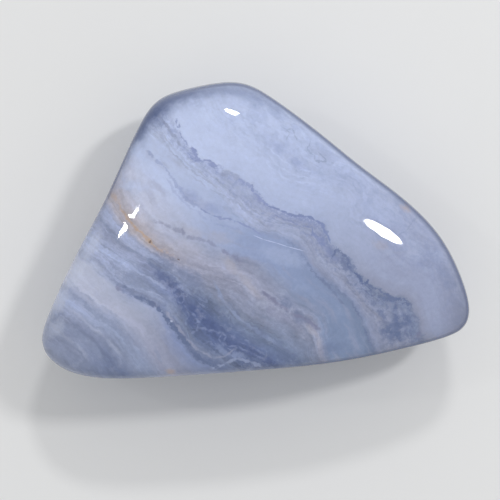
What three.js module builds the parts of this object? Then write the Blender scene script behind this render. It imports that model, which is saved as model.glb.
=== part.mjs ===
// A tumbled and polished pebble of banded blue chalcedony: one rounded, three-cornered stone lying on its underside.
// Millimetres, +Z up, +X along the long bottom side. The origin is below the stone's middle, on the surface it
// rests on.
import * as THREE from 'three';
import { mergeVertices } from 'three/addons/utils/BufferGeometryUtils.js';

// The stone is 26 mm long, 18 mm wide and 8.3 mm thick. Its worn faces below are measured from a point inside it.
const LENGTH = 26;

// How far the flat that it rests on lies below that point.
const REST_DEPTH = 4.5;

// The facets are spread evenly over an oval of these half sizes, then pushed onto the stone's surface. DIVISIONS
// is how many times each edge of the starting icosahedron is cut: 17 gives 6480 facets about 0.5 mm across.
const FACET_SPREAD = new THREE.Vector3(13, 9, 5);
const DIVISIONS = 17;

// The faces that tumbling wore on the stone. Each row has the face's name, the compass angle it looks toward in
// degrees (0 is +X, 90 is +Y), its lean above the horizontal in degrees, its distance from the middle in mm, and how
// crisply it meets its neighbours (a low number is a soft, round edge).
const WORN_FACES = [
  ['left side', 153.5, -5, 9.25, 34],
  ['upper left shoulder', 127, 14, 11.15, 32],
  ['top left', 104, 5, 10.55, 26],
  ['top', 80, 2, 10.6, 20],
  ['upper right side', 53, -2, 8.4, 30],
  ['upper right shoulder', 40, -1, 9.8, 28],
  ['right shoulder', 22, 0, 11.6, 34],
  ['right tip', -10, -3, 14.6, 36],
  ['lower right corner', -40, -3, 13.45, 34],
  ['lower right side', -77, -4, 7.7, 36],
  ['bottom side', -86, -5, 6.92, 32],
  ['lower left', -104, -4, 9.65, 24],
  ['left tip, lower', -139, -4, 13.75, 28],
  ['left tip', -165, -4, 15, 32],

  ['left slope, lower', 165, 48, 8.3, 10],
  ['left slope, upper', 145, 48, 8.4, 12],
  ['upper left slope', 131, 56, 8.2, 16],
  ['top slope', 92, 50, 9.2, 12],
  ['upper right slope, left', 60, 50, 7.6, 10],
  ['upper right slope, right', 44, 50, 7.5, 10],
  ['right slope', 5, 46, 11.2, 12],
  ['lower right slope', -62, 50, 8.6, 12],
  ['bottom slope', -88, 52, 7.2, 14],
  ['left tip slope', -165, 42, 12.4, 12],

  ['under left', 153, -45, 7.9, 10],
  ['under top', 95, -45, 8.8, 10],
  ['under upper right', 53, -45, 7.4, 10],
  ['under right', -8, -42, 10.8, 10],
  ['under bottom', -84, -45, 6.8, 10],
  ['under left tip', -158, -42, 11.6, 10],

  ['crown', 100, 87, 4.3, 4.5],
  ['crown right', 20, 78, 5.5, 6],
  ['crown lower right', -65, 77, 5, 6],
  ['crown left', 175, 79, 5, 6],
  ['underside', 0, -90, 4.6, 7],
];

// Shallow hollows in the sides: name, centre (x, y, z), reach and depth, all in mm.
const HOLLOWS = [
  ['left side hollow', -8.5, 3.4, 0.5, 3.6, 0.2],
  ['upper right hollow', 6.9, 5.3, 0.5, 2.6, 0.12],
];

function directionOf(compass, lean) {
  const across = THREE.MathUtils.degToRad(compass);
  const up = THREE.MathUtils.degToRad(lean);
  return new THREE.Vector3(Math.cos(up) * Math.cos(across), Math.cos(up) * Math.sin(across), Math.sin(up));
}

const faces = WORN_FACES.map(([name, compass, lean, distance, crispness]) => {
  return { normal: directionOf(compass, lean), distance, crispness };
});

const hollows = HOLLOWS.map(([name, x, y, z, reach, depth]) => {
  return { centre: new THREE.Vector3(x, y, z), reach, depth };
});

// How much of the stone's body is used up at a point: 0 in the middle, 1 on the worn surface. Each face adds the
// point's height toward it, as a share of the face's distance and raised to its crispness, so that faces blend
// into one another.
function wear(direction, radius) {
  let total = 0;
  for (const { normal, distance, crispness } of faces) {
    const height = Math.max(0, normal.dot(direction) * radius);
    total += (height / distance) ** crispness;
  }
  return total;
}

function wornRadius(direction) {
  let inside = 0;
  let outside = LENGTH;
  while (outside - inside > 1e-6) {
    const middle = (inside + outside) / 2;
    if (wear(direction, middle) < 1) inside = middle;
    else outside = middle;
  }
  return inside;
}

function surfacePoint(direction) {
  const point = direction.clone().multiplyScalar(wornRadius(direction));
  let dip = 0;
  for (const { centre, reach, depth } of hollows) {
    dip += depth * Math.exp(-((point.distanceTo(centre) / reach) ** 2));
  }
  point.addScaledVector(direction, -dip);
  if (point.z < -REST_DEPTH) point.multiplyScalar(REST_DEPTH / -point.z);
  return point;
}

function pebbleGeometry() {
  const ball = new THREE.IcosahedronGeometry(1, DIVISIONS);
  ball.deleteAttribute('normal');
  ball.deleteAttribute('uv');
  const geometry = mergeVertices(ball);
  const position = geometry.getAttribute('position');
  const direction = new THREE.Vector3();
  for (let i = 0; i < position.count; i += 1) {
    direction.fromBufferAttribute(position, i).multiply(FACET_SPREAD).normalize();
    const { x, y, z } = surfacePoint(direction);
    position.setXYZ(i, x, y, z);
  }
  standOnOrigin(geometry);
  geometry.computeVertexNormals();
  return geometry;
}

function standOnOrigin(geometry) {
  geometry.computeBoundingBox();
  const middle = geometry.boundingBox.getCenter(new THREE.Vector3());
  geometry.translate(-middle.x, -middle.y, -geometry.boundingBox.min.z);
}

function chalcedony() {
  return new THREE.MeshStandardMaterial({ color: 0xaab6d6, roughness: 0.12, metalness: 0 });
}

const stone = new THREE.Mesh(pebbleGeometry(), chalcedony());
stone.name = 'stone';

const part = new THREE.Group();
part.add(stone);

export default part;
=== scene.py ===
"""A tumbled pebble of banded blue chalcedony, seen from straight above on a pale floor."""

import math

import bpy
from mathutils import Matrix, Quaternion, Vector, noise


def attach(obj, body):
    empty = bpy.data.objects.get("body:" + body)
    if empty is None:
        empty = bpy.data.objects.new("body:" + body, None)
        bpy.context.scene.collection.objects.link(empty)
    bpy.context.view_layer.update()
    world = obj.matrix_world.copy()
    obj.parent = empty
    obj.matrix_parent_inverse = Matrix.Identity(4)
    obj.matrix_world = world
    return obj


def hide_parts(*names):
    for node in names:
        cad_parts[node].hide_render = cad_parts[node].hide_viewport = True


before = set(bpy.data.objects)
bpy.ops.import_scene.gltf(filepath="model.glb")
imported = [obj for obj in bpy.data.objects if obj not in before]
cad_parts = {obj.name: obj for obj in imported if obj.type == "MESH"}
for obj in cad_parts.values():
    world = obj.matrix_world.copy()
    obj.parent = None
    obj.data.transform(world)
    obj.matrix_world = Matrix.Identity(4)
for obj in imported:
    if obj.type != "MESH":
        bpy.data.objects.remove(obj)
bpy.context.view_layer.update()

MM = 0.001

# The photograph: how large a pixel is at the stone's outline, and the pixel under the stone's middle.
PIXEL = 0.0605 * MM
STONE_MIDDLE_PX = (255.0, 229.5)
FRAME_PX = 500

# Where the stone's outline is widest, above the floor.
OUTLINE_HEIGHT = 4.6 * MM

# The lens, and how far it is from the stone's outline so that the picture has the photograph's frame.
LENS = 150
SENSOR = 36
VIEW_DISTANCE = FRAME_PX / 2 * PIXEL / (SENSOR / 2 / LENS)

# How finely the stone's surface is divided, and how it is smoothed.
VOXEL = 0.125 * MM
SMOOTHING_FACTOR = 0.5
SMOOTHING_ROUNDS = 100

# The bands' own directions on the stone, as (x, y): u runs along them toward the lower right, and v
# across them toward the upper right. All places in u and v are in millimetres from the stone's middle.
ALONG = (0.766, -0.643)
ACROSS = (0.643, 0.766)

# Upward the bands spread a little from the middle of the picture, so that from the camera they lie
# where the photograph shows them. Below LEAN_START they slant toward the lower left: for each
# millimetre down they move this far back in u and v.
LEAN_START = 4.8
LEAN_ALONG = 0.13
LEAN_ACROSS = 0.35

# The markings, apart from the crack, are frayed by two warps, given as (clouds per mm, detail, the
# full range of the shift in mm).
WARPS = [(0.5, 2.0, 0.35), (2.3, 5.0, 0.42)]
WARP_ROUGHNESS = 0.62

# Single marks are on the upper half only. Upward they fade in between these two heights, in mm.
UPPER_HALF = (3.0, 5.0)

# The edges of the main layers, from the lower left of the stone to the upper right, as points (u, v).
LOWEST_BLUE = [(-13, -12), (-6.3, -11.7), (-4.1, -11.5), (-2, -11.6), (-0.8, -11.9), (13, -13)]
LOWER_BLUE = [
    (-13, -10.3), (-6.4, -10.15), (-4.6, -10.05), (-2.5, -9.7), (-0.4, -10.15), (1.2, -10.5), (13, -11),
]
DEEP_FOOT = [
    (-13, -8.2), (-8, -7.9), (-6, -7.8), (-4.2, -7.95), (-2.4, -7.75), (-1.4, -7.4), (-0.3, -7.65),
    (1.2, -8.05), (2.4, -8.3), (3.5, -7.85), (6, -7.6), (13, -7.4),
]
DEEP_MIDDLE = [
    (-13, -6.9), (-9, -6.6), (-5.1, -6.2), (-2.9, -5.7), (-1, -5.9), (1.2, -6.15), (3, -6.05),
    (6.1, -5.45), (9, -5), (13, -4.9),
]
TAN_SEAM = [
    (-13, -3.4), (-8.1, -3.8), (-6.7, -4.35), (-4.5, -4.65), (-2.4, -4.3), (-0.2, -3.45), (1.5, -2.7),
    (3.7, -2.6), (6.5, -2.2), (7.8, -3.2), (10, -3.6), (13, -3.8),
]
BAND_FOOT = [
    (-13, 0.3), (-8, 0.3), (-2.9, 0.05), (-0.5, -0.2), (2.5, 0.75), (4.5, 0.25), (7.3, 0.35),
    (9.3, -0.6), (12, -1.6), (13, -1.8),
]
BAND_TOP = [
    (-13, 1.8), (-8.5, 1.9), (-7.3, 1.5), (-5.7, 1.1), (-4.3, 1.45), (-3, 1.65), (-1.9, 1.8),
    (-0.6, 1.65), (0.8, 1.95), (2, 2.55), (3, 2.85), (4, 2.2), (5.5, 2.25), (6.7, 1.9), (8.6, 1.95),
    (9.6, 2.55), (11.2, 2), (11.8, 1.5), (13, 1.3),
]
LAYER_EDGES = [LOWEST_BLUE, LOWER_BLUE, DEEP_FOOT, DEEP_MIDDLE, TAN_SEAM, BAND_FOOT, BAND_TOP]

# The lowest and the highest v that an edge may have.
EDGE_LIMITS = (-13.0, 4.0)

# How fast the level of the layers goes on below the first edge and above the last.
LEVELS_PER_MM = 0.5

# The worn surface isn't quite even. In mm: slow waves, a faint step along the tan seam on the left
# shoulder, whose upper side stands prouder, and a few small pits, given as (middle, reach, depth). The
# step is there where z is more than SEAM_STEP_LOW and u is less than SEAM_STEP_END.
WAVES_PER_MM = 0.3
WAVE_HEIGHT = 0.004
SEAM_STEP_LOW = 4.0
SEAM_STEP_END = -5.0
SEAM_STEP_HALF_WIDTH = 0.12
SEAM_STEP_HEIGHT = 0.014
PITS = [
    (Vector((-7.6, 2.55, 6.6)), 0.16, 0.05),
    (Vector((-9.9, 1.2, 3.4)), 0.3, 0.05),
    (Vector((2.6, -8.3, 3.1)), 0.25, 0.05),
    (Vector((9.4, 3.2, 3.6)), 0.3, 0.06),
    (Vector((-2.2, 8.6, 3.2)), 0.28, 0.05),
    (Vector((4.5, 1.5, 0.1)), 0.35, 0.06),
    (Vector((-5.0, -5.6, 0.3)), 0.3, 0.05),
]


def photo_place(px, py):
    """The spot on the stone, in metres, that a pixel of the photograph shows."""
    return ((px - STONE_MIDDLE_PX[0]) * PIXEL, (STONE_MIDDLE_PX[1] - py) * PIXEL)


def srgb(red, green, blue):
    """A colour as it shows on a screen, 0 to 255, turned into the shader's linear colour."""
    def linear(value):
        value /= 255
        return value / 12.92 if value <= 0.04045 else ((value + 0.055) / 1.055) ** 2.4
    return (linear(red), linear(green), linear(blue), 1.0)


MILK = srgb(194, 205, 234)
SOFT_MILK = srgb(188, 199, 228)
PALE_BLUE = srgb(180, 191, 221)
SKY = srgb(173, 184, 215)
LAVENDER = srgb(165, 174, 203)
LILAC = srgb(156, 164, 192)
WINDOW_PALE = srgb(150, 164, 199)
WINDOW_BLUE = srgb(130, 146, 178)
WINDOW_DEEP = srgb(120, 135, 165)
BLUE = srgb(138, 151, 188)
BAND_GREY = srgb(141, 150, 178)
SLATE = srgb(116, 128, 162)
DEEP_SLATE = srgb(103, 117, 152)
DEEP_BLUE = srgb(84, 99, 143)
PEARL = srgb(196, 201, 223)
# Also painted light on the steep left side and the left tip.
PALE_PEARL_AND_PAINTED_LIGHT = srgb(205, 212, 231)
PINK_WHITE = srgb(185, 191, 212)
PINK_GREY = srgb(159, 163, 187)
ROSE = srgb(147, 153, 177)
SAND_WHITE = srgb(183, 180, 192)
GREY_BLUE = srgb(142, 153, 181)
DIM_GREY = srgb(126, 137, 164)
TIP_GREY = srgb(146, 155, 182)
MAUVE = srgb(129, 132, 161)
SAND = srgb(194, 166, 140)
RUST = srgb(92, 72, 64)
LACE_BLUE = srgb(146, 160, 198)
LACE_WHITE = srgb(190, 197, 219)
FRINGE_PALE = srgb(146, 157, 197)
FRINGE_MIDDLE = srgb(130, 142, 183)
FRINGE_DARK = srgb(100, 114, 152)
# The rim's dark blue is partly the stone's clearer colour and partly painted shade and painted reflection.
RIM_BLUE_AND_PAINTED_SHADE = srgb(24, 55, 110)
# Painted shade for the right tip.
TIP_PAINTED_SHADE = srgb(54, 55, 75)
FLOOR_GREY = (0.795, 0.795, 0.787, 1.0)
FLOOR_PALE = (0.805, 0.805, 0.795, 1.0)

# The stone's polish, and how light goes into it: which share, how far in each colour, and how deep.
SMOOTHEST = 0.02
ROUGHEST = 0.04
REFRACTIVE_INDEX = 1.54
SCATTERED_SHARE = 0.4
SCATTERED_COLOURS = (0.7, 0.8, 1.0)
SCATTERING_DEPTH = 0.2 * MM

# The floor, and how far it reaches each way.
FLOOR_REACH = 400 * MM
FLOOR_CLOUDS_PER_MM = 0.1
FLOOR_ROUGHNESS = 0.9

# The studio's pale surroundings.
STUDIO_COLOUR = (0.97, 0.98, 1.0, 1.0)
STUDIO_STRENGTH = 0.62

# The lamps. Each has a name, a compass angle (0 is +X, 90 is +Y), an elevation and a roll in degrees, a
# width, a height and a power in watts. They stand where their highlights fall as in the photograph.
LAMP_DISTANCE = 300 * MM
LAMPS = [
    ("lamp_right", 31.5, 51.6, 0, 26 * MM, 49 * MM, 0.22),
    ("lamp_top", 78.9, 45.2, 0, 47 * MM, 26 * MM, 0.17),
    ("lamp_left", 160.38, 47.25, 9, 5.5 * MM, 35 * MM, 0.027),
]


def make_object(name, mesh):
    piece = bpy.data.objects.new(name, mesh)
    bpy.context.scene.collection.objects.link(piece)
    return piece


def apply_modifiers(piece):
    """Turns a piece's modifiers into its own mesh."""
    depsgraph = bpy.context.evaluated_depsgraph_get()
    mesh = bpy.data.meshes.new_from_object(piece.evaluated_get(depsgraph))
    piece.modifiers.clear()
    piece.data = mesh


def soften(piece):
    smooth = piece.modifiers.new("soften", "SMOOTH")
    smooth.factor = SMOOTHING_FACTOR
    smooth.iterations = SMOOTHING_ROUNDS
    apply_modifiers(piece)


def round_off_facets(piece):
    """Softens a piece. Softening it again shows how much it has shrunk, which is then given back."""
    soften(piece)
    softened = [vertex.co.copy() for vertex in piece.data.vertices]
    soften(piece)
    for vertex, once in zip(piece.data.vertices, softened):
        vertex.co = once * 2 - vertex.co


def make_pebble():
    """The stone's evenly and finely divided surface, taken from its plain solid."""
    pebble = make_object("polished_pebble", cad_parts["stone"].data.copy())
    divide = pebble.modifiers.new("divide", "REMESH")
    divide.mode = "VOXEL"
    divide.voxel_size = VOXEL
    apply_modifiers(pebble)
    round_off_facets(pebble)
    add_relief(pebble.data)
    pebble.data.shade_smooth()
    return pebble


def height_along(points, u):
    """The v of a guide line at u."""
    for (left, low), (right, high) in zip(points, points[1:]):
        if u <= right:
            return low + (high - low) * (u - left) / (right - left)
    return points[-1][1]


def relief_at(spot):
    """How far tumbling has left the surface above or below its even shape at a spot, all in mm."""
    relief = WAVE_HEIGHT * noise.noise(spot * WAVES_PER_MM)
    u = spot.x * ALONG[0] + spot.y * ALONG[1]
    v = spot.x * ACROSS[0] + spot.y * ACROSS[1]
    if spot.z > SEAM_STEP_LOW and u < SEAM_STEP_END:
        away = (v - height_along(TAN_SEAM, u)) / SEAM_STEP_HALF_WIDTH
        relief += SEAM_STEP_HEIGHT / 2 * math.tanh(away)
    for middle, reach, depth in PITS:
        away = (spot - middle).length / reach
        relief -= depth * math.exp(-away * away)
    return relief


def add_relief(mesh):
    normals = [vertex.normal.copy() for vertex in mesh.vertices]
    for vertex, normal in zip(mesh.vertices, normals):
        vertex.co += normal * relief_at(vertex.co / MM) * MM


def add_node(tree, kind, inputs, **settings):
    """Adds a shader node. Its inputs, given by name or number, take fields, sockets or plain values."""
    node = tree.nodes.new(kind)
    for name, value in settings.items():
        setattr(node, name, value)
    for name, value in inputs.items():
        value = value.socket if isinstance(value, Field) else value
        if isinstance(value, bpy.types.NodeSocket):
            tree.links.new(value, node.inputs[name])
        else:
            node.inputs[name].default_value = value
    return node


class Field:
    """A number that varies over the stone, worked out by shader nodes. Fields add up and multiply."""

    def __init__(self, tree, socket):
        self.tree = tree
        self.socket = socket

    def math(self, operation, *values):
        node = add_node(self.tree, "ShaderNodeMath", dict(enumerate(values)), operation=operation)
        return Field(self.tree, node.outputs[0])

    def __add__(self, other):
        return self.math("ADD", self, other)

    def __sub__(self, other):
        return self.math("SUBTRACT", self, other)

    def __rsub__(self, other):
        return self.math("SUBTRACT", other, self)

    def __mul__(self, other):
        return self.math("MULTIPLY", self, other)

    __radd__ = __add__
    __rmul__ = __mul__

    def size(self):
        return self.math("ABSOLUTE", self)

    def cycle(self, count):
        """Rises from 0 to 1 again and again, count times for each 1 that the field rises."""
        return self.math("FRACT", self * count)

    def larger(self, other):
        return self.math("MAXIMUM", self, other)

    def map(self, low, high, start, end, kind, clamp):
        inputs = {"Value": self, "From Min": low, "From Max": high, "To Min": start, "To Max": end}
        node = add_node(self.tree, "ShaderNodeMapRange", inputs, interpolation_type=kind, clamp=clamp)
        return Field(self.tree, node.outputs["Result"])

    def share(self, low, high):
        """How far the field is from low to high, held between 0 and 1."""
        return self.map(low, high, 0.0, 1.0, "LINEAR", True)

    def rise(self, low, high, top=1.0):
        """0 below low and the top value above high, smooth between. A smooth step needs no clamp."""
        return self.map(low, high, 0.0, top, "SMOOTHSTEP", False)

    def fall(self, low, high):
        """1 below low and 0 above high, smooth between."""
        return self.map(low, high, 1.0, 0.0, "SMOOTHSTEP", False)

    def within(self, start, end):
        """1 in a stretch of values. It rises over its start and falls over its end, each (low, high)."""
        return self.rise(*start) * self.fall(*end)

    def near(self, middle, core, reach):
        """1 within core of the middle value, and 0 past its reach."""
        return (self - middle).size().fall(core, reach)

    def follow(self, points, low=0.0, high=1.0):
        """A smooth curve through points (field value, result), whose results lie from low to high."""
        start, end = points[0][0], points[-1][0]
        node = add_node(self.tree, "ShaderNodeFloatCurve", {"Value": self.share(start, end)})
        curve = node.mapping.curves[0]
        placed = [((at - start) / (end - start), (result - low) / (high - low)) for at, result in points]
        curve.points[0].location = placed[0]
        curve.points[1].location = placed[-1]
        for spot in placed[1:-1]:
            curve.points.new(*spot)
        node.mapping.update()
        return Field(self.tree, node.outputs["Value"]) * (high - low) + low


def place(x, y, z):
    """A point whose coordinates are fields."""
    return add_node(x.tree, "ShaderNodeCombineXYZ", {0: x, 1: y, 2: z}).outputs[0]


def vector(tree, operation, inputs):
    return add_node(tree, "ShaderNodeVectorMath", inputs, operation=operation).outputs[0]


def flat(tree, at):
    """A point moved straight down to z = 0."""
    return vector(tree, "MULTIPLY", {0: at, 1: (1.0, 1.0, 0.0)})


def noise_field(tree, at, scale, detail=3.0, roughness=0.55, distortion=0.0):
    """Cloudy noise around 0, mostly from -0.25 to 0.25."""
    inputs = {"Vector": at, "Scale": scale, "Detail": detail, "Roughness": roughness}
    inputs["Distortion"] = distortion
    node = add_node(tree, "ShaderNodeTexNoise", inputs)
    return Field(tree, node.outputs[0]) - 0.5


def paint(under, over, mask, strength=1.0):
    """One colour laid over another, as far as the mask says and at most as far as the strength."""
    if strength < 1.0:
        mask = mask * strength
    # A Mix node takes its two colours at inputs 6 and 7, and gives a colour at output 2.
    node = add_node(mask.tree, "ShaderNodeMix", {0: mask, 6: under, 7: over}, data_type="RGBA")
    return node.outputs[2]


def shaded(colour, factor):
    """A colour made lighter or darker by a factor around 1."""
    return vector(factor.tree, "SCALE", {0: colour, "Scale": factor})


def layers(at, stops):
    """A colour for each level of the layers, from stops (level, colour)."""
    low, high = stops[0][0], stops[-1][0]
    node = add_node(at.tree, "ShaderNodeValToRGB", {0: at.share(low, high)})
    ramp = node.color_ramp
    ramp.elements[0].color = stops[0][1]
    ramp.elements[1].color = stops[-1][1]
    for level, colour in stops[1:-1]:
        ramp.elements.new((level - low) / (high - low)).color = colour
    return node.outputs["Color"]


class Spot:
    """Where a point of the stone lies: in space, along and across the bands, and in which layer.

    Also how steep the stone is there: 0 on level tops, 1 on upright sides and up to 2 below.
    """

    def __init__(self, tree):
        self.tree = tree
        coordinates = add_node(tree, "ShaderNodeTexCoord", {})
        self.at = vector(tree, "SCALE", {0: coordinates.outputs["Object"], "Scale": 1 / MM})
        self.z = Field(tree, add_node(tree, "ShaderNodeSeparateXYZ", {0: self.at}).outputs["Z"])
        self.upper = self.z.rise(*UPPER_HALF)
        normal = add_node(tree, "ShaderNodeSeparateXYZ", {0: coordinates.outputs["Normal"]})
        self.steep = 1.0 - Field(tree, normal.outputs["Z"])
        self.calm = self.find_calm()
        self.seen = self.find_seen()
        split = add_node(tree, "ShaderNodeSeparateXYZ", {0: self.seen})
        self.x, self.y = (Field(tree, socket) for socket in split.outputs[:2])
        drop = (LEAN_START - self.z).larger(0.0)
        self.u = self.x * ALONG[0] + self.y * ALONG[1] + drop * LEAN_ALONG
        self.v = self.x * ACROSS[0] + self.y * ACROSS[1] + drop * LEAN_ACROSS
        self.edges = [self.u.follow(points, *EDGE_LIMITS) for points in LAYER_EDGES]
        self.level = self.find_level()

    def find_calm(self):
        """The place in the photograph's plane, in mm, where the camera shows the point."""
        x, y = photo_place(FRAME_PX / 2, FRAME_PX / 2)
        middle = (x / MM, y / MM, 0.0)
        away = vector(self.tree, "SUBTRACT", {0: self.at, 1: middle})
        spread = (self.z - OUTLINE_HEIGHT / MM) * (MM / VIEW_DISTANCE)
        spread_out = vector(self.tree, "SCALE", {0: away, "Scale": spread})
        return flat(self.tree, vector(self.tree, "ADD", {0: self.at, 1: spread_out}))

    def find_seen(self):
        """The same place, slightly warped so that the markings are frayed."""
        seen = self.calm
        for scale, detail, amount in WARPS:
            inputs = {"Vector": self.at, "Scale": scale, "Detail": detail, "Roughness": WARP_ROUGHNESS}
            cloud = add_node(self.tree, "ShaderNodeTexNoise", inputs).outputs["Color"]
            shift = vector(self.tree, "SUBTRACT", {0: cloud, 1: (0.5, 0.5, 0.5)})
            shift = vector(self.tree, "SCALE", {0: shift, "Scale": amount})
            seen = vector(self.tree, "ADD", {0: seen, 1: shift})
        return flat(self.tree, seen)

    def find_level(self):
        """0 at the lowest edge, 1 at the next and so on."""
        above = (self.v - self.edges[-1]).larger(0.0) * LEVELS_PER_MM
        below = (self.edges[0] - self.v).larger(0.0) * LEVELS_PER_MM
        level = above - below
        for lower, upper in zip(self.edges, self.edges[1:]):
            level = level + self.v.share(lower, upper)
        return level

    def above(self, edge):
        """How far above one of the layer edges the point is, in mm."""
        return self.v - self.edges[LAYER_EDGES.index(edge)]

    def noise(self, scale, **settings):
        return noise_field(self.tree, self.at, scale, **settings)

    def grain(self, across, along, **settings):
        """Noise drawn out along the bands."""
        at = place(self.level * across, self.u * along, self.z * along)
        return noise_field(self.tree, at, 1.0, **settings)


# The layers' colours at three places along the bands, from the lowest level to the highest.
LEFT_LAYERS = [
    (-1, TIP_GREY), (-0.3, TIP_GREY), (0.1, BAND_GREY), (0.4, LAVENDER), (0.7, SKY), (1, LAVENDER),
    (1.3, PEARL), (1.85, PINK_WHITE), (2, LAVENDER), (2.4, LAVENDER), (2.7, SKY), (3.1, LILAC),
    (3.35, LILAC), (3.6, LAVENDER), (3.85, SAND_WHITE), (4.08, SAND_WHITE), (4.25, PEARL), (4.4, PEARL),
    (4.65, MILK), (4.8, SOFT_MILK), (5, SOFT_MILK), (5.35, SOFT_MILK), (5.75, PALE_BLUE), (6, MILK),
    (6.25, MILK), (7, MILK), (7.4, SOFT_MILK), (8, SOFT_MILK),
]
MIDDLE_LAYERS = [
    (-1, DIM_GREY), (0, DEEP_SLATE), (0.4, DIM_GREY), (0.9, GREY_BLUE), (1.3, PINK_GREY), (1.6, ROSE),
    (1.9, BLUE), (2.1, SLATE), (2.3, DIM_GREY), (2.5, DEEP_SLATE), (2.85, DEEP_BLUE), (3.05, DEEP_BLUE),
    (3.2, DEEP_SLATE), (3.4, DIM_GREY), (3.6, ROSE), (4, PINK_GREY), (4.15, PINK_GREY), (4.3, ROSE),
    (4.48, WINDOW_PALE), (5, WINDOW_PALE), (5.2, LAVENDER), (5.5, LAVENDER), (5.85, LILAC), (6.05, SKY),
    (6.35, PALE_BLUE), (7.2, PALE_BLUE), (7.6, SKY), (8, PALE_BLUE),
]
RIGHT_LAYERS = [
    (1.5, DIM_GREY), (2.5, DEEP_SLATE), (3, DEEP_SLATE), (3.3, WINDOW_DEEP), (3.7, DIM_GREY), (4, ROSE),
    (4.2, WINDOW_BLUE), (4.7, WINDOW_BLUE), (4.95, WINDOW_DEEP), (5.1, BAND_GREY), (5.4, ROSE),
    (5.65, BAND_GREY), (5.95, DIM_GREY), (6.15, ROSE), (6.5, LILAC), (7.3, LILAC), (7.8, LAVENDER),
    (8.3, LILAC),
]

# How strongly fine streaks show at each level.
STREAK_STRENGTH = [
    (-1, 0.5), (1, 0.5), (1.6, 0.25), (2, 0.6), (2.5, 0.9), (3, 1), (3.7, 1), (4.2, 0.6), (4.5, 0.25),
    (4.8, 0.1), (5.05, 0.5), (5.5, 0.75), (5.9, 0.6), (6.15, 0.15), (6.6, 0.12), (7, 0.25), (8, 0.3),
]

# Where the left layers turn into the middle ones, and these into the right ones, along the bands.
LEFT_TO_MIDDLE = (-5.5, 0.5)
MIDDLE_TO_RIGHT = (1.0, 8.0)

# The levels, and the stretches along the bands, over which some markings fade in and over which they
# fade out.
WARM_LEVELS = ((3.3, 3.8), (5.7, 5.9))
BAND_LEVELS = ((5.1, 5.6), (5.95, 6.05))
LACE_LEVELS = ((2.1, 2.4), (3.2, 3.6))
LACE_STRETCH = ((-6.0, -3.5), (3.0, 8.0))
SEAM_STRETCH = ((-8.4, -6.4), (-4.2, -2.2))

# The main band's torn edge is darker toward the right.
FRINGE_COLOURS = [(-3, FRINGE_PALE), (2.5, FRINGE_MIDDLE), (6.5, FRINGE_DARK)]

# How strongly the ragged dark edges show along the bands.
TOP_FRINGE = [
    (-13, 0), (-8.4, 0), (-7.6, 0.45), (-6.6, 0.35), (-5.7, 0.6), (-4.6, 0.5), (-3.4, 0.35),
    (-1.8, 0.5), (-0.8, 0.45), (0.4, 0.7), (1.8, 0.6), (3.3, 0.65), (4.6, 0.4), (5.6, 0.6), (6.9, 0.65),
    (8, 0.6), (9.2, 0.6), (10.7, 0.45), (12, 0.3), (13, 0.3),
]
FOOT_FRINGE = [
    (-13, 0.1), (-6, 0.1), (-4.3, 0.3), (-3.9, 0.8), (-3.2, 0.5), (-2.4, 0.9), (-0.6, 0.9), (1, 1),
    (2.6, 1), (4, 0.6), (7, 0.4), (13, 0.3),
]
THREAD = [(-13, 0), (0.5, 0), (1.8, 0.35), (3.5, 0.6), (5.5, 1), (8, 0.9), (10, 0.8), (13, 0.3)]

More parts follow.
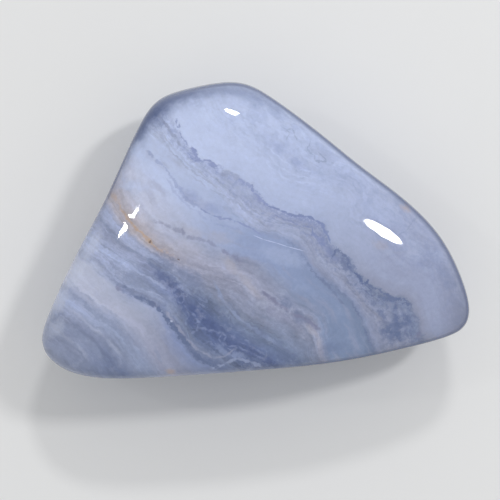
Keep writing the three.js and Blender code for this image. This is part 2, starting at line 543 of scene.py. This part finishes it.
# Single strokes, in the order in which they are laid on. Each group has a name, a colour, how soft its
# rims are (from 0.5, crisp, to 1.1) and how torn they are (from 0, even, to 2). Its rows have a name, a
# strength, half a width in pixels, and the points of the photograph that the stroke passes through.
STROKES = [
    ("hazes", SAND_WHITE, 0.9, 1, [
        ("cream haze", 0.5, 7, [(222, 256), (240, 276), (260, 296)]),
        ("cream haze, lower", 0.4, 5, [(304, 322), (318, 338), (321, 356)]),
        ("cream haze, left", 0.2, 8, [(112, 190), (134, 218), (166, 240), (204, 254)]),
        ("cream haze, middle", 0.3, 8, [(182, 228), (206, 234), (232, 240)]),
    ]),
    # Beside veils of darker stone, the rows named shade near the lower and right sides are painted shade.
    ("veils", DEEP_SLATE, 0.95, 1, [
        ("deep veil", 0.4, 13, [(180, 296), (206, 318), (236, 340)]),
        ("smear's shade", 0.5, 11, [(150, 254), (176, 266), (200, 284)]),
        ("shade by the rose haze", 0.65, 8, [(280, 298), (292, 312), (308, 322)]),
        ("slate column", 0.5, 6, [(394, 302), (396, 334)]),
        ("lower right shade", 0.7, 7, [(250, 362), (276, 352), (300, 362)]),
        ("right corner shade", 0.9, 11, [(388, 340), (404, 318)]),
        ("shade at the window's foot", 0.4, 9, [(314, 350), (346, 347)]),
        ("under the cloud", 1, 12, [(382, 328), (406, 334)]),
        ("right side's shade", 0.25, 14, [(422, 248), (438, 264), (450, 284)]),
    ]),
    ("window veils", FRINGE_PALE, 0.95, 1, [
        ("bluish patch", 0.45, 8, [(182, 190), (200, 204), (222, 212)]),
        ("mottled body", 0.2, 5, [(216, 172), (234, 178), (246, 190)]),
        ("mottled body, lower", 0.15, 5, [(228, 188), (252, 202), (280, 214)]),
        ("first clump", 0.35, 4, [(190, 152), (198, 162)]),
        ("upper right patch", 0.35, 7, [(268, 138), (286, 156), (304, 168)]),
    ]),
    ("pale lane", WINDOW_PALE, 0.8, 1, [
        ("pale lane", 0.55, 2.4, [(213, 280), (226, 306), (246, 322), (262, 335), (280, 346)]),
        ("below the pool", 0.5, 4, [(216, 345), (230, 355), (246, 356)]),
    ]),
    ("pale blues and painted glow", SKY, 0.6, 1, [
        ("window, pale", 0.4, 10, [(262, 250), (300, 262)]),
        ("below the band", 0.3, 7, [(276, 228), (300, 240)]),
        # Painted glow beside the right highlight.
        ("painted glow above the shine", 0.5, 9, [(364, 207), (390, 221)]),
        ("under the seam", 0.5, 2.5, [(104, 212), (118, 232), (136, 248), (160, 260)]),
        ("over the cell", 0.6, 1.8, [(109, 251), (124, 262), (146, 276), (168, 289)]),
        ("around the cell", 0.55, 1.6, [(113, 266), (114, 277), (124, 284), (145, 291), (162, 296)]),
        ("foot swirl", 0.5, 2.2, [(212, 369), (226, 363), (238, 358), (252, 362), (262, 366)]),
    ]),
    ("ribbons", PINK_GREY, 0.7, 1, [
        ("ribbon", 0.7, 1.9, [(165, 311), (174, 323), (186, 337), (199, 350)]),
        ("pool's rim", 0.5, 1.4, [(199, 350), (212, 358), (226, 355), (234, 349)]),
    ]),
    ("greys", GREY_BLUE, 0.7, 1, [
        ("left flow", 0.7, 2.5, [(98, 216), (110, 231), (122, 246), (140, 255), (158, 267)]),
        ("left marks", 0.35, 1.6, [(84, 257), (92, 264), (103, 276)]),
        ("cell", 0.5, 8, [(122, 274), (148, 288)]),
        ("lower blue band's start", 0.35, 2.2, [(60, 282), (72, 295), (82, 303)]),
        ("lower blue band", 0.7, 3.6, [(80, 301), (92, 311), (106, 322), (128, 338)]),
        ("lower blue line", 0.4, 1.6, [(66, 277), (80, 292), (98, 304), (116, 315)]),
        ("lowest blue band's start", 0.5, 2.0, [(48, 306), (60, 319), (70, 328)]),
        ("lowest blue band", 0.7, 3.8, [(66, 325), (78, 334), (90, 343), (104, 360)]),
        ("foot stain", 0.5, 2.5, [(156, 349), (162, 362)]),
        ("branch", 0.5, 1.3, [(398, 236), (406, 231), (413, 223), (417, 216)]),
        ("branch, side", 0.4, 1.0, [(408, 229), (415, 229)]),
        ("by the right stain", 0.5, 5, [(394, 197), (406, 205)]),
    ]),
    ("lilacs", LILAC, 0.7, 1.2, [
        ("upper line", 0.8, 1.8, [(163, 119), (171, 132), (176, 139), (182, 145)]),
        ("second line", 0.5, 1.4, [
            (158, 133), (166, 143), (172, 152), (181, 162), (190, 169), (202, 178), (217, 188),
        ]),
        ("third line", 0.4, 1.2, [(192, 176), (208, 189), (226, 197), (246, 208), (268, 218)]),
        ("clump", 0.65, 4, [(221, 173), (232, 174), (238, 178)]),
        ("upper right side", 0.4, 7, [(314, 147), (332, 162)]),
        ("clump, lower", 0.15, 3.5, [(232, 188), (250, 200)]),
    ]),
    ("pale fringe", FRINGE_PALE, 0.6, 1.5, [
        ("comma", 0.8, 1.2, [(176, 120), (177, 125), (179.5, 129), (180, 124)]),
        ("thread", 0.7, 1.0, [(179, 132), (184, 139), (188, 146)]),
        ("first tooth", 1, 2.6, [(191, 148), (194, 153), (198, 160)]),
        ("first loops", 0.9, 1.4, [(189, 156), (194, 161), (202, 162), (206, 160), (211, 162), (217, 165)]),
        ("loop tooth", 0.9, 2.6, [(208, 164), (216, 166)]),
        ("second tooth", 0.65, 2.0, [(240, 181), (246, 184), (252, 187)]),
        ("middle fringe", 1, 1.8, [(252, 187), (254, 193), (258, 196), (262, 200), (270, 205)]),
        ("curls", 0.5, 1.7, [(148, 151), (154, 158), (163, 166), (171, 176)]),
        ("curls, lower", 0.45, 2.4, [(171, 176), (180, 188), (188, 201), (198, 208)]),
        ("foot line", 0.9, 1.1, [(198, 208), (212, 215), (233, 221), (252, 228), (262, 236)]),
        ("second foot line", 0.3, 1.8, [(166, 178), (178, 195), (192, 210), (214, 222), (240, 230)]),
    ]),
    ("outlines", GREY_BLUE, 0.6, 0.5, [
        ("loop", 0.45, 0.8, [(283, 128), (287, 130), (289, 134), (286, 141)]),
        ("loop's side", 0.45, 0.8, [(287, 130), (292, 129), (295, 135), (298, 142)]),
        ("mesh", 0.4, 0.9, [(312, 141), (307, 149), (310, 153), (314, 155), (314, 160)]),
        ("mesh, lower", 0.55, 1, [(314, 160), (320, 162), (327, 162), (323, 156), (320, 152)]),
    ]),
    ("mauves", MAUVE, 0.8, 1.2, [
        ("first streak", 0.5, 3.4, [(156, 221), (164, 224), (172, 227), (184, 232)]),
        ("blot", 0.6, 2.8, [(182, 228), (184, 234)]),
        ("second streak", 0.45, 2.6, [(187, 236.5), (196, 237), (206, 240), (220, 247)]),
        ("third streak", 0.6, 2.8, [(222, 250), (230, 255), (242, 263)]),
        ("right streak", 0.9, 2.6, [(262, 291), (270, 298), (280, 305), (291, 313), (306, 320), (320, 329)]),
        ("right shade", 0.3, 6, [(262, 304), (300, 328)]),
        ("foot blot", 0.7, 3.2, [(117, 287), (122, 290)]),
        ("foot blot, second", 0.6, 3.2, [(151, 303), (158, 308)]),
        ("reddish mark", 0.6, 3.2, [(415, 338), (420, 333)]),
    ]),
    ("middle fringe", FRINGE_MIDDLE, 0.6, 1.8, [
        ("fringe", 0.9, 1.6, [(267, 205), (279, 209), (287, 213), (296, 217), (307, 217)]),
        ("second thread", 0.6, 1.1, [(272, 214), (286, 220), (300, 225), (310, 228)]),
        ("knee's rim", 1, 1.5, [(307, 217), (314, 219), (320, 222), (324, 229), (327, 235), (330, 242)]),
        ("inner knee", 0.9, 1.4, [(311, 227), (314, 234), (317, 241), (324, 247)]),
        ("knee's body", 0.8, 5, [(315, 235), (325, 247)]),
        ("knee to tooth", 0.5, 3.6, [(325, 247), (338, 262)]),
    ]),
    ("slates", SLATE, 0.55, 1.2, [
        ("slate oval", 0.8, 3.5, [(379, 310), (384, 317)]),
        ("slate curl", 0.7, 1.6, [(382, 327), (385, 334), (391, 336), (394, 332), (391, 327)]),
        ("deep smear", 0.8, 3.4, [(150, 263), (162, 270), (180, 284)]),
        ("far lines", 0.5, 2, [(246, 324), (270, 340), (300, 358)]),
        ("upper lane", 0.4, 2.4, [(216, 308), (230, 321), (246, 334), (264, 349)]),
        ("thin line", 0.5, 0.9, [(226, 300), (248, 321), (265, 334), (282, 344)]),
        ("thread's beads", 0.7, 1.6, [(318, 277), (332, 291), (337, 298), (344, 304)]),
    ]),
    ("dark fringe", FRINGE_DARK, 0.6, 2, [
        ("third tooth", 0.75, 1.8, [(332, 257), (337, 249), (341, 252), (347, 258), (349, 265), (353, 272)]),
        ("third tooth's body", 0.6, 4.5, [(340, 261), (350, 271)]),
        ("hooked teeth", 1, 1.8, [(353, 272), (358, 275), (360, 279), (363, 284), (367, 284), (369, 281)]),
        ("right fringe", 0.75, 1.6, [(368, 284), (375, 288), (384, 293), (393, 297), (401, 299)]),
    ]),
    ("clouds", FRINGE_DARK, 1.1, 0.8, [
        ("slate clump", 0.85, 5, [(383, 296), (396, 303)]),
        ("slate cloud", 0.7, 9, [(405, 312), (409, 328)]),
        ("slate cloud's column", 0.8, 4.5, [(395, 301), (398, 332)]),
    ]),
    ("deep slates", DEEP_SLATE, 0.55, 2, [
        ("foot edge", 0.75, 2.2, [(131, 296), (145, 300), (160, 309)]),
        ("foot edge, second", 0.9, 2.4, [(157, 308), (163, 315), (169, 323), (178, 334), (188, 344)]),
        ("foot edge, third", 0.85, 2.4, [(194, 353), (203, 361), (219, 367)]),
        ("pool", 0.2, 9, [(196, 338), (210, 346)]),
    ]),
    ("deep blues", DEEP_BLUE, 0.7, 1.3, [
        ("upper patch", 0.6, 6, [(158, 272), (170, 282), (180, 292)]),
        ("left patch", 0.75, 5, [(177, 294), (186, 312), (194, 326)]),
        ("darkest patch", 1, 6.5, [(188, 306), (202, 318), (217, 331)]),
        ("right patch", 0.85, 4, [(222, 337), (240, 348)]),
        ("right patch, far", 0.7, 3.5, [(240, 348), (258, 356), (276, 364)]),
        ("deep line", 0.7, 2.5, [(186, 301), (204, 315), (235, 338), (262, 356)]),
    ]),
    ("lace", LACE_BLUE, 1.1, 1.3, [
        ("first", 0.5, 1.8, [(160, 284), (167, 289), (172, 291), (175, 287), (181, 285), (183, 290)]),
        ("second", 0.42, 1.6, [(175, 293), (178, 297), (182, 296), (184, 301), (180, 304), (178, 300)]),
        ("third", 0.42, 1.6, [(182, 304), (187, 309), (188, 316), (185, 321), (187, 327)]),
        ("fourth", 0.42, 1.7, [(190, 312), (196, 317), (199, 323), (196, 331), (191, 333)]),
        ("fifth", 0.48, 1.8, [(198, 327), (207, 329), (214, 331), (222, 332), (226, 337), (223, 342)]),
        ("loop", 0.42, 1.7, [(222, 332), (219, 338), (221, 343), (229, 345)]),
        ("sixth", 0.5, 1.9, [(229, 345), (238, 347), (250, 353), (267, 360)]),
        ("seventh", 0.42, 1.8, [(229, 334), (238, 340), (250, 347), (264, 354)]),
    ]),
    ("white dot", LACE_WHITE, 0.6, 1, [
        ("white dot", 0.9, 1.2, [(170.5, 322), (171.5, 322)]),
    ]),
    # Pale patches, and painted light on the steep left side and the left tip.
    ("pale pearl and painted light", PALE_PEARL_AND_PAINTED_LIGHT, 0.9, 1, [
        ("painted light on the left side", 0.5, 10, [(50, 314), (66, 290), (84, 260), (100, 234)]),
        ("painted light on the left tip", 0.3, 9, [(48, 336), (64, 320)]),
        ("left of the cell", 0.4, 6, [(86, 260), (104, 272)]),
    ]),
    ("milks", MILK, 0.9, 1, [
        ("above the seam", 0.65, 9, [(120, 182), (146, 190)]),
        ("band's middle", 0.35, 6, [(236, 185), (252, 196)]),
        ("pale loop", 0.6, 1.3, [(268, 154), (279, 167), (292, 174), (310, 178)]),
        ("pale loop, second", 0.6, 1.3, [(265, 160), (277, 173), (291, 180), (314, 184)]),
        ("pale loop, third", 0.5, 1.3, [(268, 146), (280, 159), (295, 168), (312, 171)]),
    ]),
    ("pale lines", PINK_WHITE, 0.9, 1, [
        ("between the blue bands", 0.35, 3, [(54, 294), (68, 308), (86, 322), (106, 338), (122, 356)]),
        ("below the lowest blue band", 0.3, 3, [(46, 318), (58, 331), (74, 343), (88, 358)]),
    ]),
    ("stains and painted highlight fringe", SAND, 0.9, 1, [
        ("right", 0.35, 5, [(402, 205), (410, 210)]),
        # Painted fringe around the right highlight.
        ("painted fringe under the shine", 0.14, 6, [(374, 243), (388, 249)]),
        ("at the foot", 0.45, 4.5, [(167, 371), (174, 373)]),
        ("left", 0.4, 3, [(110, 190), (116, 202)]),
    ]),
    ("dots", RUST, 0.5, 0, [
        ("first", 0.65, 1.3, [(149, 241.5), (150, 241.5)]),
        ("second", 0.7, 1.3, [(178, 259), (179, 259)]),
    ]),
]

# How strongly the dark rim shows from the left shoulder over the top, by x: partly the stone's clearer colour
# and partly painted shade.
PAINTED_SHADE_CRESCENT = [(-13, 0.95), (-4.5, 0.75), (-2.5, 0.5), (1, 0.35), (4, 0), (13, 0)]

# A stroke is a row of lens-shaped blots. A blot seems to end where it has faded to LENS_RIM, and
# reaches its full strength over RIM_FADE times its softness. LENS_LENGTH and LENS_WIDTH stretch it, to
# make up for its faded ends.
LENS_RIM = 0.35
RIM_FADE = 0.6
LENS_LENGTH = 0.95
LENS_WIDTH = 1.6

# The hair-fine healed crack, as a row like those of STROKES, and how soft its rims are.
CRACK = ("crack", 0.9, 0.45, [(254, 235.5), (263.5, 239.5), (276.5, 243), (287, 246.5), (304, 251)])
CRACK_SOFTNESS = 0.5


def layer_colours(spot):
    """The broad colour of each layer, which changes slowly along the bands."""
    level = spot.level + spot.grain(4, 0.4, detail=4.0, roughness=0.6) * 0.3
    along = spot.u + spot.noise(0.5) * 3
    colour = paint(layers(level, LEFT_LAYERS), layers(level, MIDDLE_LAYERS), along.share(*LEFT_TO_MIDDLE))
    return paint(colour, layers(level, RIGHT_LAYERS), along.share(*MIDDLE_TO_RIGHT))


def add_fine_streaks(spot, colour):
    """The fine flow lines that run along the bands, lighter and darker than their layer."""
    share = spot.level.follow(STREAK_STRENGTH)
    coarse = spot.grain(5, 0.35, detail=5.0, roughness=0.6, distortion=0.3)
    fine = spot.grain(15, 0.7, detail=4.0, roughness=0.62, distortion=0.3)
    colour = shaded(colour, (coarse * 1.1 + fine * 0.75) * share + 1.0)
    warm = spot.grain(7, 0.4, detail=3.0).rise(0.0, 0.2) * spot.level.within(*WARM_LEVELS)
    return paint(colour, PINK_GREY, warm, strength=0.4)


def add_mottling(spot, colour):
    """Small soft blotches all over the stone, some bluer and some pinker, some lighter and some darker."""
    blotch = spot.noise(1.3, detail=5.0, roughness=0.68)
    grains = spot.noise(4.5, detail=3.0, roughness=0.7)
    share = spot.level.follow(STREAK_STRENGTH) * 0.6 + 0.4
    colour = paint(colour, BLUE, blotch.rise(0.02, 0.2) * share, strength=0.14)
    colour = paint(colour, PINK_WHITE, blotch.fall(-0.2, -0.02) * share, strength=0.18)
    return shaded(colour, (grains * 0.42 - blotch * 0.2) * share + 1.0)


def stroke_group(name, soft, rows):
    """A node group that gives how strongly a group of strokes shows at a place.

    Its fray tears the strokes' rims.
    """
    group = bpy.data.node_groups.new(name, "ShaderNodeTree")
    group.interface.new_socket("Place", in_out="INPUT", socket_type="NodeSocketVector")
    group.interface.new_socket("Fray", in_out="INPUT", socket_type="NodeSocketFloat")
    group.interface.new_socket("Mask", in_out="OUTPUT", socket_type="NodeSocketFloat")
    at, fray = group.nodes.new("NodeGroupInput").outputs[:2]
    mask = None
    for row_name, strength, half_width, pixels in rows:
        for first, last in zip(pixels, pixels[1:]):
            closeness = lens(group, row_name, at, photo_place(*first), photo_place(*last), half_width * PIXEL)
            blot = (closeness + fray).rise(LENS_RIM, LENS_RIM + soft * RIM_FADE, strength)
            mask = blot if mask is None else mask.larger(blot)
    group.links.new(mask.socket, group.nodes.new("NodeGroupOutput").inputs[0])
    return group


def lens(tree, name, at, first, last, half_width):
    """A lens-shaped blot from one place to another: 1 in its middle, LENS_RIM where it seems to end."""
    length = math.dist(first, last)
    inputs = {
        "Vector": at,
        "Location": ((first[0] + last[0]) / 2 / MM, (first[1] + last[1]) / 2 / MM, 0.0),
        "Rotation": (0.0, 0.0, math.atan2(last[1] - first[1], last[0] - first[0])),
        "Scale": ((length * LENS_LENGTH + half_width) / MM, half_width * LENS_WIDTH / MM, 1.0),
    }
    local = add_node(tree, "ShaderNodeMapping", inputs, vector_type="TEXTURE", label=name).outputs[0]
    blot = add_node(tree, "ShaderNodeTexGradient", {0: local}, gradient_type="SPHERICAL")
    return Field(tree, blot.outputs[1])


def stroke_mask(spot, at, fray, name, soft, rows):
    """How strongly a group of strokes shows, on the upper half of the stone."""
    node = add_node(spot.tree, "ShaderNodeGroup", {}, node_tree=stroke_group(name, soft, rows))
    spot.tree.links.new(at, node.inputs["Place"])
    spot.tree.links.new(fray.socket, node.inputs["Fray"])
    return Field(spot.tree, node.outputs["Mask"]) * spot.upper


def add_strokes(spot, colour):
    fray = spot.noise(2.6, detail=4.0, roughness=0.7) * 0.9
    for name, shade, soft, torn, rows in STROKES:
        colour = paint(colour, shade, stroke_mask(spot, spot.seen, fray * torn, name, soft, rows))
    return colour


def add_lace(spot, colour):
    """Soft pale lines in nested loops around the deep blue patches."""
    at = place(spot.u * 0.7, spot.v * 1.3, spot.z * 0.7)
    cloud = noise_field(spot.tree, at, 1.0, detail=3.0, roughness=0.5, distortion=0.7)
    lines = cloud.cycle(4.5).near(0.5, 0.03, 0.22)
    zone = spot.level.within(*LACE_LEVELS) * spot.u.within(*LACE_STRETCH)
    broken = spot.noise(1.1, detail=2.0).rise(-0.15, 0.1)
    return paint(colour, LACE_BLUE, lines * zone * broken, strength=0.4)


def add_faint_loops(spot, colour):
    """Faint nested outlines in the pale area at the upper right."""
    at = place(spot.u * 0.35, spot.v * 0.5, spot.z * 0.5)
    cloud = noise_field(spot.tree, at, 1.0, detail=4.0, roughness=0.55, distortion=0.3)
    lines = cloud.cycle(9).near(0.5, 0.05, 0.35)
    zone = spot.level.rise(6.6, 7.4) * spot.u.rise(-7.0, -4.0)
    colour = paint(colour, BLUE, cloud.rise(0.0, 0.2) * zone, strength=0.3)
    return paint(colour, BLUE, lines * zone, strength=0.2)


def add_ragged_edges(spot, colour):
    """The torn dark edges of the main band and the deep blue zone, and the thread below the main band.

    Distances from the layer edges are in mm.
    """
    ragged = spot.noise(2.4, detail=5.0, roughness=0.72, distortion=0.8)
    patchy = spot.noise(1.1, detail=3.0) * 3.2 + 0.75
    fringe = layers(spot.u, FRINGE_COLOURS)

    # The main band's curdled body, its torn upper side with a dark rim, and a pale line below that.
    curdled = spot.noise(3.2, detail=4.0, roughness=0.65, distortion=0.5).rise(-0.02, 0.12)
    colour = paint(colour, fringe, curdled * spot.level.within(*BAND_LEVELS), strength=0.45)
    top = spot.above(BAND_TOP) + ragged * 1.7
    top_share = spot.u.follow(TOP_FRINGE) * patchy
    colour = paint(colour, fringe, top.within((-0.8, -0.05), (-0.03, 0.05)) * top_share, strength=0.7)
    colour = paint(colour, fringe, top.near(-0.06, 0.02, 0.12) * top_share, strength=0.8)
    colour = paint(colour, SKY, top.near(-0.28, 0.02, 0.12) * spot.u.follow(TOP_FRINGE), strength=0.35)

    # The deep blue zone's lower edge.
    foot = spot.above(DEEP_FOOT) + ragged
    foot_share = spot.u.follow(FOOT_FRINGE) * patchy
    colour = paint(colour, DEEP_SLATE, foot.within((-0.05, 0.05), (0.1, 0.5)) * foot_share, strength=0.9)

    # The thread below the main band: a soft shade, and its thin dark core.
    thread = spot.above(BAND_FOOT) + ragged * 0.7
    thread_share = spot.u.follow(THREAD) * patchy
    colour = paint(colour, SLATE, thread.near(0.1, 0.05, 0.35) * thread_share, strength=0.35)
    return paint(colour, DEEP_SLATE, thread.near(0.0, 0.02, 0.09) * thread_share, strength=0.6)


def add_tan_seam(spot, colour):
    """The iron-stained seam near the left side, with its sandy haze."""
    grains = spot.noise(3.5, detail=4.0, roughness=0.7)
    away = (spot.above(TAN_SEAM) + spot.noise(1.5, detail=3.0) * 0.5).size()
    along = spot.u.within(*SEAM_STRETCH)
    colour = paint(colour, SAND, away.fall(0.1, 0.6) * along, strength=0.12)
    core = (away + grains * 0.6).fall(0.0, 0.15)
    return paint(colour, SAND, core * along * grains.rise(-0.2, 0.05), strength=0.9)


def add_crack(spot, colour):
    """The healed crack shows as a white line."""
    waver = spot.noise(1.5) * 0.2
    return paint(colour, MILK, stroke_mask(spot, spot.calm, waver, "crack", CRACK_SOFTNESS, [CRACK]))


def add_rim(spot, colour):
    """A dark blue rim, and painted shade on the right tip.

    The rim is partly the stone's clearer colour and partly painted shade and painted reflection. Its
    crescent at the upper left keeps its place. The rest shows where a side is seen at a low angle, so it
    moves with the view.
    """
    # Painted reflection and painted shade: the rim darkens where a side is seen at a low angle.
    facing = Field(spot.tree, add_node(spot.tree, "ShaderNodeLayerWeight", {"Blend": 0.5}).outputs["Facing"])
    edge = facing.rise(0.34, 0.74) * spot.steep.rise(0.15, 0.45) * spot.v.rise(-7.0, -3.0) * 0.85
    # The crescent at the upper left: partly the stone's clearer colour, partly painted shade on the side
    # turned from the lamps.
    height = spot.z + spot.noise(1.0, detail=3.0) * 0.9 - spot.y.share(4.8, 8.0) * 0.55
    crescent = height.within((0.0, 5.2), (6.1, 7.05)) * spot.x.follow(PAINTED_SHADE_CRESCENT) * spot.y.rise(0.5, 5.5)
    # Painted shade on the right tip, which tilts away from the lamps.
    colour = paint(colour, TIP_PAINTED_SHADE, spot.x.rise(10.8, 13.2) * spot.upper, strength=0.45)
    return paint(colour, RIM_BLUE_AND_PAINTED_SHADE, edge.larger(crescent))


# The markings, in the order in which they are laid on.
MARKINGS = [
    add_fine_streaks, add_ragged_edges, add_lace, add_faint_loops, add_tan_seam, add_strokes, add_crack,
    add_mottling, add_rim,
]


def chalcedony_material():
    material = bpy.data.materials.new("banded_chalcedony")
    material.use_nodes = True
    tree = material.node_tree
    spot = Spot(tree)
    colour = layer_colours(spot)
    for add_marking in MARKINGS:
        colour = add_marking(spot, colour)
    shader = tree.nodes["Principled BSDF"]
    tree.links.new(colour, shader.inputs["Base Color"])
    roughness = spot.noise(0.9, detail=4.0).share(-0.2, 0.25) * (ROUGHEST - SMOOTHEST) + SMOOTHEST
    tree.links.new(roughness.socket, shader.inputs["Roughness"])
    shader.inputs["IOR"].default_value = REFRACTIVE_INDEX
    shader.inputs["Subsurface Weight"].default_value = SCATTERED_SHARE
    shader.inputs["Subsurface Radius"].default_value = SCATTERED_COLOURS
    shader.inputs["Subsurface Scale"].default_value = SCATTERING_DEPTH
    return material


def floor_material():
    material = bpy.data.materials.new("pale_floor")
    material.use_nodes = True
    tree = material.node_tree
    at = add_node(tree, "ShaderNodeTexCoord", {}).outputs["Object"]
    cloud = noise_field(tree, at, FLOOR_CLOUDS_PER_MM / MM, detail=4.0)
    shader = tree.nodes["Principled BSDF"]
    tree.links.new(paint(FLOOR_GREY, FLOOR_PALE, cloud.share(-0.2, 0.2)), shader.inputs["Base Color"])
    shader.inputs["Roughness"].default_value = FLOOR_ROUGHNESS
    return material


def make_floor():
    mesh = bpy.data.meshes.new("floor")
    corners = [(x * FLOOR_REACH, y * FLOOR_REACH, 0) for x, y in ((-1, -1), (1, -1), (1, 1), (-1, 1))]
    mesh.from_pydata(corners, [], [(0, 1, 2, 3)])
    floor = make_object("floor", mesh)
    floor.data.materials.append(floor_material())


def make_camera():
    data = bpy.data.cameras.new("camera")
    data.lens = LENS
    data.sensor_width = SENSOR
    data.clip_start = 1 * MM
    camera = bpy.data.objects.new("camera", data)
    x, y = photo_place(FRAME_PX / 2, FRAME_PX / 2)
    camera.location = (x, y, OUTLINE_HEIGHT + VIEW_DISTANCE)
    bpy.context.scene.collection.objects.link(camera)
    bpy.context.scene.camera = camera


def softbox(name, compass, elevation, roll, width, height, power):
    """A studio lamp with an oval face that looks at the stone."""
    data = bpy.data.lights.new(name, "AREA")
    data.shape = "ELLIPSE"
    data.size = width
    data.size_y = height
    data.energy = power
    lamp = bpy.data.objects.new(name, data)
    across = math.radians(compass)
    up = math.radians(elevation)
    aim = Vector((0, 0, OUTLINE_HEIGHT))
    toward = Vector((math.cos(up) * math.cos(across), math.cos(up) * math.sin(across), math.sin(up)))
    lamp.location = aim + toward * LAMP_DISTANCE
    turn = toward.to_track_quat("Z", "Y") @ Quaternion((0, 0, 1), math.radians(roll))
    lamp.rotation_euler = turn.to_euler()
    bpy.context.scene.collection.objects.link(lamp)


def make_lights():
    world = bpy.data.worlds.new("studio")
    world.use_nodes = True
    background = world.node_tree.nodes["Background"]
    background.inputs["Color"].default_value = STUDIO_COLOUR
    background.inputs["Strength"].default_value = STUDIO_STRENGTH
    bpy.context.scene.world = world
    for lamp in LAMPS:
        softbox(*lamp)


pebble = make_pebble()
pebble.data.materials.clear()
pebble.data.materials.append(chalcedony_material())
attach(pebble, "root")
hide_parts("stone")

make_floor()
make_lights()
make_camera()
bpy.context.scene.view_settings.view_transform = "Standard"
